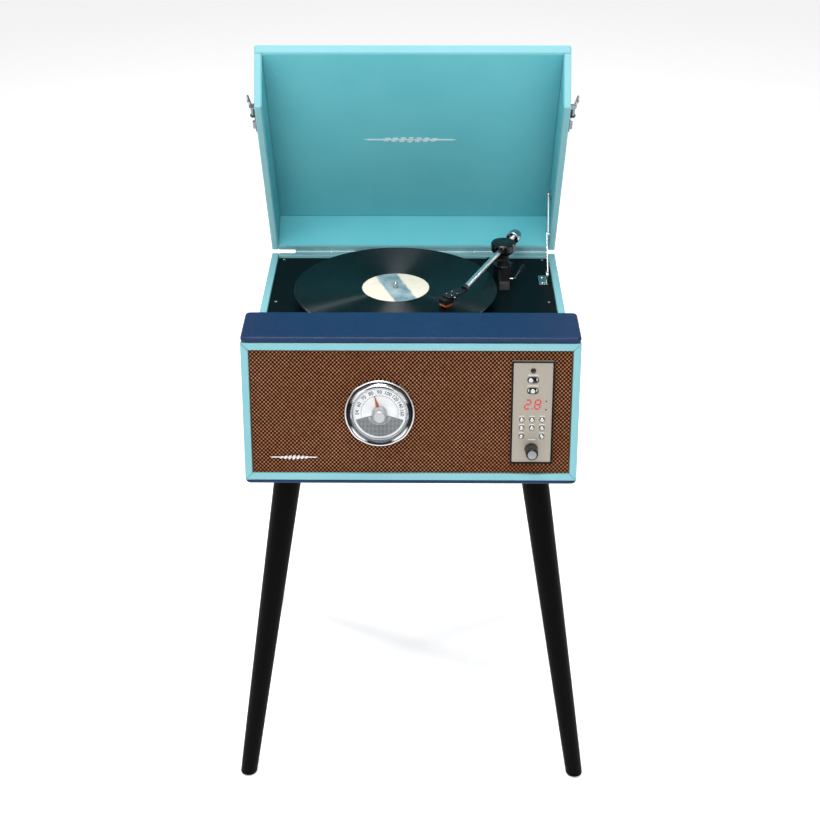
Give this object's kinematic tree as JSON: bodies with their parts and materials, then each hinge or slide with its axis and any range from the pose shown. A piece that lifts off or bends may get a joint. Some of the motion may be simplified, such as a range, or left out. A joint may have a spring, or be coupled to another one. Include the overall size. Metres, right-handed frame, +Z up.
{
  "type": "suitcase record player",
  "caption": "Suitcase-style record player on tall splayed legs: sloping cloth front with tuning dial and control strip, sunken deck with tonearm, and a hinged lid held open by a stay.",
  "frame": {"origin": "on the floor, under the middle of the object's box with the lid open", "axes": "+Z up, +X to the right seen from the front, +Y to the back"},
  "size_m": [0.5234, 0.5673, 1.0343],
  "materials": {
    "vinyl_blue": "satin grained vinyl covering, light blue",
    "vinyl_navy": "satin grained vinyl covering, navy",
    "black_panel": "satin black with a teal cast",
    "black_wood": "satin black lacquer",
    "grille_cloth": "two-tone basket weave",
    "baffle_board": "raw fibreboard",
    "chrome": "bright polished",
    "brushed_metal": "brushed, nickel plated",
    "dial_silver": "satin silver print",
    "pointer_orange": "satin orange",
    "panel_champagne": "satin champagne anodised",
    "black_plastic": "fine moulded texture",
    "platter_black": "satin black",
    "record_vinyl": "grooved gloss",
    "board_green": "printed circuit board",
    "belt_rubber": "matt"
  },
  "bodies": {
    "cabinet": {"side_wall_left": "vinyl_blue", "side_wall_right": "vinyl_blue", "rear_panel": "vinyl_blue", "bottom_board": "vinyl_navy", "front_top_board": "vinyl_navy", "slope_panel": "black_panel", "deck_plate": "black_panel", "front_frame": "vinyl_blue", "grille_cloth": "grille_cloth", "front_baffle": "baffle_board", "speaker_left": "black_plastic", "speaker_right": "black_plastic", "dial_bezel": "chrome", "dial_face": "dial_silver", "control_plate": "panel_champagne", "main_board": "board_green", "drive_motor": "brushed_metal", "drive_belt": "belt_rubber", "tonearm_base": "black_plastic", "hinge_leaf_lower": "chrome", "stay_lower_bracket": "brushed_metal", "rear_jack_plate": "black_plastic", "leg_front_left": "black_wood", "leg_front_right": "black_wood", "leg_rear_left": "black_wood", "leg_rear_right": "black_wood"},
    "lid": {"lid_panel": "vinyl_blue", "lid_side_left": "vinyl_blue", "lid_side_right": "vinyl_blue", "lid_rear_wall": "vinyl_blue", "hinge_leaf_upper": "chrome", "latch_base_left": "chrome", "latch_base_right": "chrome", "stay_upper_bracket": "brushed_metal"},
    "latch_left": {"latch_lever_left": "chrome"},
    "latch_right": {"latch_lever_right": "chrome"},
    "stay_lower": {"stay_lower_link": "brushed_metal"},
    "stay_upper": {"stay_upper_link": "brushed_metal"},
    "turntable": {"platter": "platter_black", "record": "record_vinyl"},
    "pulley": {"motor_pulley": "brushed_metal"},
    "arm_bearing": {"tonearm_gimbal": "black_plastic"},
    "arm": {"tonearm_tube": "brushed_metal", "counterweight": "chrome", "headshell": "black_plastic"},
    "cue": {"cue_lever": "black_plastic"},
    "lift_bar": {"cue_lift_bar": "black_plastic"},
    "tuning": {"tuning_knob": "brushed_metal"},
    "pointer": {"dial_pointer": "pointer_orange"},
    "volume": {"volume_knob": "chrome"},
    "switch_upper": {"mode_switch_upper": "chrome"},
    "switch_lower": {"mode_switch_lower": "chrome"},
    "button_1": {"push_button_1": "chrome"},
    "button_2": {"push_button_2": "chrome"},
    "button_3": {"push_button_3": "chrome"},
    "button_4": {"push_button_4": "chrome"},
    "button_5": {"push_button_5": "chrome"},
    "button_6": {"push_button_6": "chrome"},
    "button_7": {"push_button_7": "chrome"},
    "button_8": {"push_button_8": "chrome"}
  },
  "joints": [
    {"name": "lid_hinge", "type": "hinge", "parent": "cabinet", "child": "lid", "pos_m": [0, 0.2193, 0.66905], "axis": [1, 0, 0], "range_deg": [0, 62]},
    {"name": "stay_lower_pivot", "type": "hinge", "parent": "cabinet", "child": "stay_lower", "pos_m": [0.207, 0.119, 0.674], "axis": [1, 0, 0], "range_deg": [-4.8, 0]},
    {"name": "stay_upper_pivot", "type": "hinge", "parent": "lid", "child": "stay_upper", "pos_m": [0.209, 0.19696, 0.77496], "axis": [1, 0, 0], "range_deg": [0, 69.7]},
    {"name": "latch_left_throw", "type": "hinge", "parent": "lid", "child": "latch_left", "pos_m": [-0.2323, 0.11561, 0.93477], "axis": [0, -0.4695, 0.8829], "range_deg": [0, 158]},
    {"name": "latch_right_throw", "type": "hinge", "parent": "lid", "child": "latch_right", "pos_m": [0.2323, 0.11561, 0.93477], "axis": [0, 0.4695, -0.8829], "range_deg": [0, 158]},
    {"name": "platter_spin", "type": "hinge", "parent": "cabinet", "child": "turntable", "pos_m": [-0.025, 0.048, 0.68515], "axis": [0, 0, 1], "continuous": true},
    {"name": "pulley_spin", "type": "hinge", "parent": "cabinet", "child": "pulley", "pos_m": [-0.10282, -0.00649, 0.66785], "axis": [0, 0, 1], "continuous": true},
    {"name": "tonearm_swing", "type": "hinge", "parent": "cabinet", "child": "arm_bearing", "pos_m": [0.139, 0.145, 0.70785], "axis": [0, 0, -1], "range_deg": [-24.5, 17.5]},
    {"name": "tonearm_lift", "type": "hinge", "parent": "arm_bearing", "child": "arm", "pos_m": [0.139, 0.145, 0.70785], "axis": [-0.91, 0.4147, 0], "range_deg": [0, 3.3]},
    {"name": "cue_lever_turn", "type": "hinge", "parent": "cabinet", "child": "cue", "pos_m": [0.1535, 0.104, 0.67435], "axis": [1, 0, 0], "range_deg": [0, 60]},
    {"name": "cue_bar_rise", "type": "slide", "parent": "cabinet", "child": "lift_bar", "axis": [0, 0, 1], "range_m": [0, 0.0019]},
    {"name": "tuning_turn", "type": "hinge", "parent": "cabinet", "child": "tuning", "pos_m": [-0.0416, -0.25251, 0.63792], "axis": [0, -0.989, 0.1478], "range_deg": [-330, 240]},
    {"name": "pointer_turn", "type": "hinge", "parent": "cabinet", "child": "pointer", "pos_m": [-0.0416, -0.25251, 0.63792], "axis": [0, -0.989, 0.1478], "range_deg": [-110, 80]},
    {"name": "volume_turn", "type": "hinge", "parent": "cabinet", "child": "volume", "pos_m": [0.1623, -0.26005, 0.58748], "axis": [0, -0.989, 0.1478], "range_deg": [-200, 100]},
    {"name": "switch_upper_slide", "type": "slide", "parent": "cabinet", "child": "switch_upper", "axis": [1, 0, 0], "range_m": [0, 0.006]},
    {"name": "switch_lower_slide", "type": "slide", "parent": "cabinet", "child": "switch_lower", "axis": [1, 0, 0], "range_m": [-0.003, 0.003]},
    {"name": "button_1_press", "type": "slide", "parent": "cabinet", "child": "button_1", "axis": [0, 0.989, -0.1478], "range_m": [0, 0.0008], "stiffness_N_per_m": 400},
    {"name": "button_2_press", "type": "slide", "parent": "cabinet", "child": "button_2", "axis": [0, 0.989, -0.1478], "range_m": [0, 0.0008], "stiffness_N_per_m": 400},
    {"name": "button_3_press", "type": "slide", "parent": "cabinet", "child": "button_3", "axis": [0, 0.989, -0.1478], "range_m": [0, 0.0008], "stiffness_N_per_m": 400},
    {"name": "button_4_press", "type": "slide", "parent": "cabinet", "child": "button_4", "axis": [0, 0.989, -0.1478], "range_m": [0, 0.0008], "stiffness_N_per_m": 400},
    {"name": "button_5_press", "type": "slide", "parent": "cabinet", "child": "button_5", "axis": [0, 0.989, -0.1478], "range_m": [0, 0.0008], "stiffness_N_per_m": 400},
    {"name": "button_6_press", "type": "slide", "parent": "cabinet", "child": "button_6", "axis": [0, 0.989, -0.1478], "range_m": [0, 0.0008], "stiffness_N_per_m": 400},
    {"name": "button_7_press", "type": "slide", "parent": "cabinet", "child": "button_7", "axis": [0, 0.989, -0.1478], "range_m": [0, 0.0008], "stiffness_N_per_m": 400},
    {"name": "button_8_press", "type": "slide", "parent": "cabinet", "child": "button_8", "axis": [0, 0.989, -0.1478], "range_m": [0, 0.0008], "stiffness_N_per_m": 400}
  ],
  "couplings": [
    {"joint": "stay_lower_pivot", "follows": "lid_hinge", "ratio": -0.076},
    {"joint": "stay_upper_pivot", "follows": "lid_hinge", "ratio": 1.1235},
    {"joint": "pulley_spin", "follows": "platter_spin", "ratio": 10},
    {"joint": "tonearm_lift", "follows": "cue_bar_rise", "rad_per_m": 30.3},
    {"joint": "cue_lever_turn", "follows": "cue_bar_rise", "rad_per_m": 551.1},
    {"joint": "pointer_turn", "follows": "tuning_turn", "ratio": 0.3333}
  ]
}
